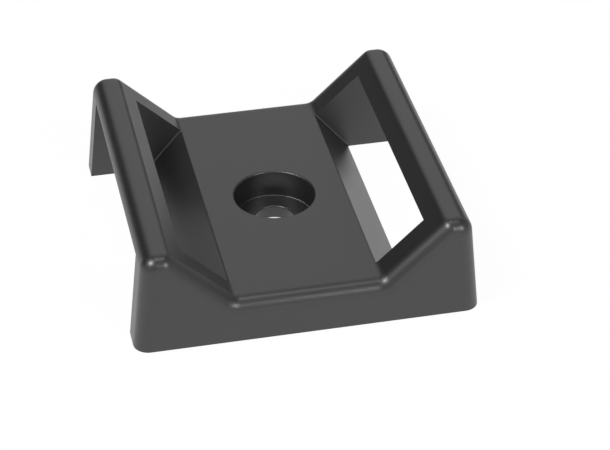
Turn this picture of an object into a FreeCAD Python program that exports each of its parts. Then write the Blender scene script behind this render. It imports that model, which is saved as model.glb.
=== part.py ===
import FreeCAD, Part
import os
from math import cos, radians, sin, tan
from FreeCAD import Vector

# A cable tie mount, moulded in one piece. The bundle lies in a cradle between
# two ears, and the tie passes under each ear, through a passage that is open
# to the outside and to the underside. One screw holds the mount down.
# X runs across the ears, Y along them and Z up. The origin is on the screw's
# axis, in the plane of the underside.

# outline of the moulding
base_width = 38.1
base_depth = 38.4
ear_height = 11.6
side_draft = 6.0
end_draft = 0.25
edge_radius = 1.7

# cradle
web_thickness = 5.04
ear_top_width = 2.83
cradle_slope = 43.6
crease_radius = 1.35
cradle_edge_radius = 1.25

# tie passages
bar_thickness = 1.63
end_wall = 3.91
passage_draft = 0.8
ceiling_draft = 2.2
ramp_angle = 50.3
ramp_edge_radius = 0.25
ramp_corner_radius = 0.2

# screw hole
hole_diameter = 4.6
head_recess_diameter = 9.1
seat_thickness = 1.74
recess_rim_radius = 0.25
recess_floor_radius = 0.1
hole_mouth_radius = 0.15
hole_foot_chamfer = 0.25

# how far a cutting body stands out past the face that it opens
overrun = 2.0

# points closer than this are one point
coincident = 1e-6

half_width = base_width / 2
half_depth = base_depth / 2

ear_edge_x = half_width - ear_height * tan(radians(side_draft))
cradle_edge_x = ear_edge_x - ear_top_width
crease_x = cradle_edge_x - (ear_height - web_thickness) / tan(radians(cradle_slope))

window_z = ear_height - bar_thickness
window_x = crease_x + (window_z - web_thickness) / tan(radians(cradle_slope))
ramp_end_x = crease_x + (web_thickness + overrun) / tan(radians(ramp_angle))
crease_run = crease_radius * tan(radians(cradle_slope / 2))


def rounded_wire(corners):
    # Closed outline in the XZ plane through (x, z, radius) corners. Each
    # corner with a radius becomes an arc tangent to its two sides.
    points = [Vector(x, 0, z) for x, z, radius in corners]
    stations = []
    for i, (x, z, radius) in enumerate(corners):
        here = points[i]
        back = (points[i - 1] - here).normalize()
        ahead = (points[(i + 1) % len(points)] - here).normalize()
        if not radius:
            stations.append((here, here, here))
            continue
        half_angle = back.getAngle(ahead) / 2
        tangent_run = radius / tan(half_angle)
        middle = (back + ahead).normalize()
        apex = here + middle * (radius / sin(half_angle) - radius)
        stations.append((here + back * tangent_run, apex, here + ahead * tangent_run))
    edges = []
    for i, (start, apex, end) in enumerate(stations):
        if start.distanceToPoint(end) > coincident:
            edges.append(Part.Arc(start, apex, end).toShape())
        following = stations[(i + 1) % len(stations)][0]
        if end.distanceToPoint(following) > coincident:
            edges.append(Part.LineSegment(end, following).toShape())
    return Part.Wire(edges)


def along_y(wire, half_length):
    # prism on a profile in the XZ plane, even about the plane Y = 0
    face = Part.Face(wire)
    face.translate(Vector(0, -half_length, 0))
    return face.extrude(Vector(0, 2 * half_length, 0))


def drafted_block(width, depth, bottom, top, draft_x, draft_y):
    # block with leaning walls, whose width and depth are those at Z = 0
    def half_sizes(z):
        x = width / 2 - z * tan(radians(draft_x))
        y = depth / 2 - z * tan(radians(draft_y))
        return x, y

    low_x, low_y = half_sizes(bottom)
    top_x, top_y = half_sizes(top)
    block = Part.makeWedge(-low_x, bottom, -low_y, -top_y, -top_x,
                           low_x, top, low_y, top_y, top_x)
    block.rotate(Vector(), Vector(1, 0, 0), 90)
    return block


def faces_facing(shape, direction):
    # flat faces whose normal is within about 25 degrees of a direction, either way
    found = []
    for face in shape.Faces:
        if face.Surface.TypeId == "Part::GeomPlane":
            if abs(face.normalAt(0, 0).dot(direction)) > 0.9:
                found.append(face)
    return found


def holds(edges, wanted):
    return any(edge.isSame(wanted) for edge in edges)


def round_edges(shape, edges, radius):
    # all the edges in one operation, so that the roundings blend at the corners
    document = FreeCAD.newDocument("Rounding")
    source = document.addObject("Part::Feature", "Source")
    source.Shape = shape
    rounding = document.addObject("Part::Fillet", "Rounding")
    rounding.Base = source
    rounding.Edges = [
        (number, radius, radius)
        for number, edge in enumerate(source.Shape.Edges, 1)
        if holds(edges, edge)
    ]
    document.recompute()
    result = rounding.Shape.copy()
    FreeCAD.closeDocument(document.Name)
    return result


def saddle():
    # drafted block with the ear tops and the cradle cut by one profile
    top = ear_height + overrun
    block = drafted_block(base_width, base_depth, 0, top, side_draft, end_draft)
    reach = half_width + overrun
    cradle = rounded_wire([
        (-reach, ear_height, 0),
        (-cradle_edge_x, ear_height, cradle_edge_radius),
        (-crease_x, web_thickness, crease_radius),
        (crease_x, web_thickness, crease_radius),
        (cradle_edge_x, ear_height, cradle_edge_radius),
        (reach, ear_height, 0),
        (reach, top + overrun, 0),
        (-reach, top + overrun, 0),
    ])
    return block.cut(along_y(cradle, half_depth + overrun))


def rounded_saddle():
    # every edge of the outer walls is rounded, save those on the underside
    shape = saddle()
    walls = faces_facing(shape, Vector(1, 0, 0)) + faces_facing(shape, Vector(0, 1, 0))
    edges = [e for face in walls for e in face.Edges if e.CenterOfMass.z > coincident]
    return round_edges(shape, edges, edge_radius)


def tie_passage():
    # the space that the tie takes on the right, from under the bar down the ramp
    inner_x = crease_x - crease_run
    outer_x = half_width + overrun

    def ceiling(x):
        return window_z + (x - window_x) * tan(radians(ceiling_draft))

    profile = rounded_wire([
        (inner_x, web_thickness, 0),
        (crease_x, web_thickness, ramp_edge_radius),
        (ramp_end_x, -overrun, 0),
        (outer_x, -overrun, 0),
        (outer_x, ceiling(outer_x), 0),
        (inner_x, ceiling(inner_x), 0),
    ])
    passage = along_y(profile, half_depth)
    ends = drafted_block(2 * outer_x, base_depth - 2 * end_wall, -overrun, ear_height,
                         0, passage_draft)
    passage = passage.common(ends)
    ramp_normal = Vector(sin(radians(ramp_angle)), 0, cos(radians(ramp_angle)))
    end_edges = [e for face in faces_facing(passage, Vector(0, 1, 0)) for e in face.Edges]
    corners = [e for face in faces_facing(passage, ramp_normal) for e in face.Edges
               if holds(end_edges, e)]
    return round_edges(passage, corners, ramp_corner_radius)


def screw_hole():
    # clearance hole with a flat-bottomed recess for a pan head
    hole_radius = hole_diameter / 2
    recess_radius = head_recess_diameter / 2
    foot_radius = hole_radius + hole_foot_chamfer
    rim_x = recess_radius + recess_rim_radius
    top = web_thickness + overrun
    profile = rounded_wire([
        (0, -overrun, 0),
        (foot_radius, -overrun, 0),
        (foot_radius, 0, 0),
        (hole_radius, hole_foot_chamfer, 0),
        (hole_radius, seat_thickness, hole_mouth_radius),
        (recess_radius, seat_thickness, recess_floor_radius),
        (recess_radius, web_thickness, recess_rim_radius),
        (rim_x, web_thickness, 0),
        (rim_x, top, 0),
        (0, top, 0),
    ])
    return Part.Face(profile).revolve(Vector(), Vector(0, 0, 1), 360)


right_passage = tie_passage()
left_passage = right_passage.mirror(Vector(), Vector(1, 0, 0))
mount_body = rounded_saddle().cut([right_passage, left_passage, screw_hole()])
mount_body = mount_body.removeSplitter()

os.makedirs("parts", exist_ok=True)
mount_body.exportStep("parts/mount_body.step")
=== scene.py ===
from math import cos, pi, radians, sin, tan

import bpy
from mathutils import Matrix, Vector

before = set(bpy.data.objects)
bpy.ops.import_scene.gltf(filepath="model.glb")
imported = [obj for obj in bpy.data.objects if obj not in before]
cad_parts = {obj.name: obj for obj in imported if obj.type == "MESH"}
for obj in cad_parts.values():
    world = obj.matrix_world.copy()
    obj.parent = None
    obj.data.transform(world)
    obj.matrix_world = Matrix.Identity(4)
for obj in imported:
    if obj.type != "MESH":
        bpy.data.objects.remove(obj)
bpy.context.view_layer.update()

mm = 0.001


def linear(hexColour):  # sRGB hex to the linear values that a shader takes
    channels = [int(hexColour[i:i + 2], 16) / 255 for i in (1, 3, 5)]
    return [c / 12.92 if c <= 0.04045 else ((c + 0.055) / 1.055) ** 2.4 for c in channels] + [1]


def addNode(tree, kind, settings={}, inputs={}, links={}):
    # settings are the node's own properties, inputs are fixed values of its
    # sockets, and links are the sockets of other nodes that feed it
    node = tree.nodes.new(kind)
    for name, value in settings.items():
        setattr(node, name, value)
    for name, value in inputs.items():
        node.inputs[name].default_value = value
    for name, source in links.items():
        tree.links.new(source, node.inputs[name])
    return node


def newTree(block):  # empty node tree of a material or a world
    block.use_nodes = True
    block.node_tree.nodes.clear()
    return block.node_tree


def directionTo(azimuth, elevation):  # azimuth 0 is the front, 90 the right
    around, up = radians(azimuth), radians(elevation)
    return Vector((sin(around) * cos(up), -cos(around) * cos(up), sin(up)))


def lookFrom(azimuth, elevation, turn, distance, target):
    # world matrix of a lamp or camera that faces the target from that side,
    # turned about its own line of sight
    outward = directionTo(azimuth, elevation)
    right = Vector((cos(radians(azimuth)), sin(radians(azimuth)), 0))
    up = outward.cross(right)
    c, s = cos(radians(turn)), sin(radians(turn))
    axes = Matrix((right * c + up * s, up * c - right * s, outward)).transposed()
    return Matrix.Translation(target + outward * distance) @ axes.to_4x4()


# The moulding is nylon 6/6 filled with carbon black, moulded in a finely spark
# eroded cavity: a satin near-black that takes soft, broad highlights.
nylon = {
    "colour": "#1f1f20",
    "paleColour": "#232324",   # a shade greyer, where the melt ran slower
    "flowPatch": 7.0,          # mm across one such patch
    "flowDetail": 3.0,         # smaller patches within it
    "flowRoughness": 0.55,
    "roughness": 0.37,
    "roughnessSpread": 0.02,   # either way, because the cavity wears unevenly
    "rubbedRoughness": 0.02,   # taken off the roughness on the ears' rubbed crests
    "rubbedFrom": 10.6,        # mm above the underside, where the rubbing starts
    "rubbedTo": 11.6,
    "ior": 1.65,               # 1.53 is typical, raised to mirror the floor as strongly
    "grain": 0.16,             # mm; the real grain is near 0.05, drawn coarser so that it shows
    "grainDetail": 2.0,
    "grainRoughness": 0.5,
    "grainDepth": 0.0007,      # mm
}


def mouldedBlackNylon():
    material = bpy.data.materials.new("mouldedBlackNylon")
    tree = newTree(material)
    place = addNode(tree, "ShaderNodeTexCoord").outputs["Object"]
    flow = addNode(tree, "ShaderNodeTexNoise", inputs={
        "Scale": 1 / (nylon["flowPatch"] * mm),
        "Detail": nylon["flowDetail"], "Roughness": nylon["flowRoughness"],
    }, links={"Vector": place})
    colour = addNode(tree, "ShaderNodeMix", {"data_type": "RGBA"},
                     {6: linear(nylon["colour"]), 7: linear(nylon["paleColour"])},
                     {0: flow.outputs["Fac"]})
    satin = addNode(tree, "ShaderNodeMapRange", inputs={
        "To Min": nylon["roughness"] - nylon["roughnessSpread"],
        "To Max": nylon["roughness"] + nylon["roughnessSpread"],
    }, links={"Value": flow.outputs["Fac"]})
    height = addNode(tree, "ShaderNodeSeparateXYZ", links={"Vector": place})
    rubbed = addNode(tree, "ShaderNodeMapRange", {"interpolation_type": "SMOOTHSTEP"}, {
        "From Min": nylon["rubbedFrom"] * mm, "From Max": nylon["rubbedTo"] * mm,
        "To Max": nylon["rubbedRoughness"],
    }, {"Value": height.outputs["Z"]})
    roughness = addNode(tree, "ShaderNodeMath", {"operation": "SUBTRACT"},
                        links={0: satin.outputs[0], 1: rubbed.outputs[0]})
    grain = addNode(tree, "ShaderNodeTexNoise", inputs={
        "Scale": 1 / (nylon["grain"] * mm),
        "Detail": nylon["grainDetail"], "Roughness": nylon["grainRoughness"],
    }, links={"Vector": place})
    bump = addNode(tree, "ShaderNodeBump",
                   inputs={"Strength": 1.0, "Distance": nylon["grainDepth"] * mm},
                   links={"Height": grain.outputs["Fac"]})
    shader = addNode(tree, "ShaderNodeBsdfPrincipled", inputs={"IOR": nylon["ior"]}, links={
        "Base Color": colour.outputs[2], "Roughness": roughness.outputs[0],
        "Normal": bump.outputs[0],
    })
    addNode(tree, "ShaderNodeOutputMaterial", links={"Surface": shader.outputs[0]})
    return material


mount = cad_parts["mount_body"]
blackNylon = mouldedBlackNylon()
for slot in mount.material_slots:
    slot.material = blackNylon
print("mount:", len(mount.data.polygons), "faces in", blackNylon.name)

# A sweep of matt white paper, even and without a gloss of its own. The camera
# and reflections see most of it as plain white and the rest as lit paper, which
# keeps a faint shadow. To all else it is paper alone.
sweep = {
    "size": 8.0,     # metres
    "drop": 0.01,    # mm below the underside, so that the two faces stay apart
    "colour": "#f4f4f4",
    "glow": 0.96,    # the share seen as plain white
}


def buildSweep():
    half = sweep["size"] / 2
    mesh = bpy.data.meshes.new("paperSweep")
    corners = [(-half, -half, 0), (half, -half, 0), (half, half, 0), (-half, half, 0)]
    mesh.from_pydata(corners, [], [(0, 1, 2, 3)])
    paper = bpy.data.objects.new("paperSweep", mesh)
    paper.location.z = -sweep["drop"] * mm
    bpy.context.scene.collection.objects.link(paper)
    material = bpy.data.materials.new("whitePaper")
    tree = newTree(material)
    path = addNode(tree, "ShaderNodeLightPath")
    direct = addNode(tree, "ShaderNodeMath", {"operation": "MAXIMUM"},
                     links={0: path.outputs["Is Camera Ray"], 1: path.outputs["Is Glossy Ray"]})
    seen = addNode(tree, "ShaderNodeMath", {"operation": "MAXIMUM"},
                   links={0: direct.outputs[0], 1: path.outputs["Is Transmission Ray"]})
    share = addNode(tree, "ShaderNodeMath", {"operation": "MULTIPLY"}, {1: sweep["glow"]},
                    {0: seen.outputs[0]})
    matt = addNode(tree, "ShaderNodeBsdfDiffuse", inputs={"Color": linear(sweep["colour"])})
    glow = addNode(tree, "ShaderNodeEmission", inputs={"Strength": 1.0})
    mix = addNode(tree, "ShaderNodeMixShader",
                  links={0: share.outputs[0], 1: matt.outputs[0], 2: glow.outputs[0]})
    addNode(tree, "ShaderNodeOutputMaterial", links={"Surface": mix.outputs[0]})
    mesh.materials.append(material)
    print("sweep:", sweep["size"], "m square")


# Softboxes about the mount. Each has its shape, its azimuth and elevation, the
# width and height that it fills as seen from the mount and its turn, all in
# degrees, and its brightness, where a white surface in the picture is 1.
softboxes = {
    "distance": 1.2,  # metres
    "lamps": {
        "key": ("ELLIPSE", -63, 55, 21, 24, 0, 18.8),
        "fill": ("RECTANGLE", 32, 35, 23, 11, -36, 12.5),
        "top": ("ELLIPSE", 90, 84, 13, 14, 0, 6.5),
        "rear": ("RECTANGLE", 168, 34, 46, 50, 25, 0.78),
        "front": ("RECTANGLE", 3, 2.2, 43, 4.4, 0, 1.8),
    },
}


def buildSoftboxes():
    distance = softboxes["distance"]
    for name, box in softboxes["lamps"].items():
        shape, azimuth, elevation, across, tall, turn, brightness = box
        lamp = bpy.data.lights.new(name, "AREA")
        lamp.shape = shape
        lamp.size = 2 * distance * tan(radians(across / 2))
        lamp.size_y = 2 * distance * tan(radians(tall / 2))
        area = lamp.size * lamp.size_y * (pi / 4 if shape == "ELLIPSE" else 1)
        lamp.energy = brightness * pi * area  # watts
        holder = bpy.data.objects.new(name, lamp)
        holder.matrix_world = lookFrom(azimuth, elevation, turn, distance, Vector())
        holder.visible_camera = False
        bpy.context.scene.collection.objects.link(holder)
    print("softboxes:", ", ".join(softboxes["lamps"]))


# The room beyond the lamps: pale walls low down under a dim ceiling.
room = {
    "walls": 0.60, "ceiling": 0.20,  # brightness, where white is 1
    "wallsEnd": 0.3, "ceilingStart": 0.9,  # sines of the elevation
}


def buildRoom():
    world = bpy.data.worlds.new("room")
    bpy.context.scene.world = world
    tree = newTree(world)
    direction = addNode(tree, "ShaderNodeTexCoord").outputs["Generated"]
    height = addNode(tree, "ShaderNodeSeparateXYZ", links={"Vector": direction})
    brightness = addNode(tree, "ShaderNodeMapRange", {"interpolation_type": "SMOOTHSTEP"}, {
        "From Min": room["wallsEnd"], "From Max": room["ceilingStart"],
        "To Min": room["walls"], "To Max": room["ceiling"],
    }, {"Value": height.outputs["Z"]})
    light = addNode(tree, "ShaderNodeBackground", links={"Strength": brightness.outputs[0]})
    addNode(tree, "ShaderNodeOutputWorld", links={"Surface": light.outputs[0]})
    print("room: walls", room["walls"], "ceiling", room["ceiling"])


# A drape of black stage cloth, whose brushed pile sends hardly any light back.
# It hangs on a curved rail, out of the picture behind the mount and to its left,
# and keeps the walls' light off the right ear's slope, which stays dark.
drape = {
    "colour": "#0a0a0a", "distance": 1.45, "height": 1.1,  # metres
    "azimuthFrom": 138, "azimuthTo": 262, "panels": 16,
}


def buildDrape():
    corners, faces = [], []
    step = (drape["azimuthTo"] - drape["azimuthFrom"]) / drape["panels"]
    for i in range(drape["panels"] + 1):
        foot = directionTo(drape["azimuthFrom"] + i * step, 0) * drape["distance"]
        corners += [foot, foot + Vector((0, 0, drape["height"]))]
    for i in range(0, 2 * drape["panels"], 2):
        faces.append((i, i + 2, i + 3, i + 1))
    mesh = bpy.data.meshes.new("drape")
    mesh.from_pydata(corners, [], faces)
    cloth = bpy.data.objects.new("drape", mesh)
    cloth.visible_camera = False
    bpy.context.scene.collection.objects.link(cloth)
    material = bpy.data.materials.new("blackCloth")
    tree = newTree(material)
    matt = addNode(tree, "ShaderNodeBsdfDiffuse", inputs={"Color": linear(drape["colour"])})
    addNode(tree, "ShaderNodeOutputMaterial", links={"Surface": matt.outputs[0]})
    mesh.materials.append(material)
    print("drape:", drape["azimuthTo"] - drape["azimuthFrom"], "degrees of the room")


buildSweep()
buildSoftboxes()
buildRoom()
buildDrape()

# The photograph's viewpoint. All lengths are in mm.
camera = {
    "azimuth": -12.53, "elevation": 35.47, "roll": 0.28,
    "distance": 241.3, "target": (2.12, -6.61, 5.0),
    "lens": 128.08, "sensor": 36.0,
    "near": 10, "far": 10000,
}


def buildCamera():
    data = bpy.data.cameras.new("camera")
    data.lens, data.sensor_width = camera["lens"], camera["sensor"]
    data.clip_start, data.clip_end = camera["near"] * mm, camera["far"] * mm
    eye = bpy.data.objects.new("camera", data)
    eye.matrix_world = lookFrom(camera["azimuth"], camera["elevation"], camera["roll"],
                                camera["distance"] * mm, Vector(camera["target"]) * mm)
    bpy.context.scene.collection.objects.link(eye)
    bpy.context.scene.camera = eye
    print("camera:", camera["distance"], "mm from its target")


buildCamera()
bpy.context.scene.view_settings.view_transform = "Standard"
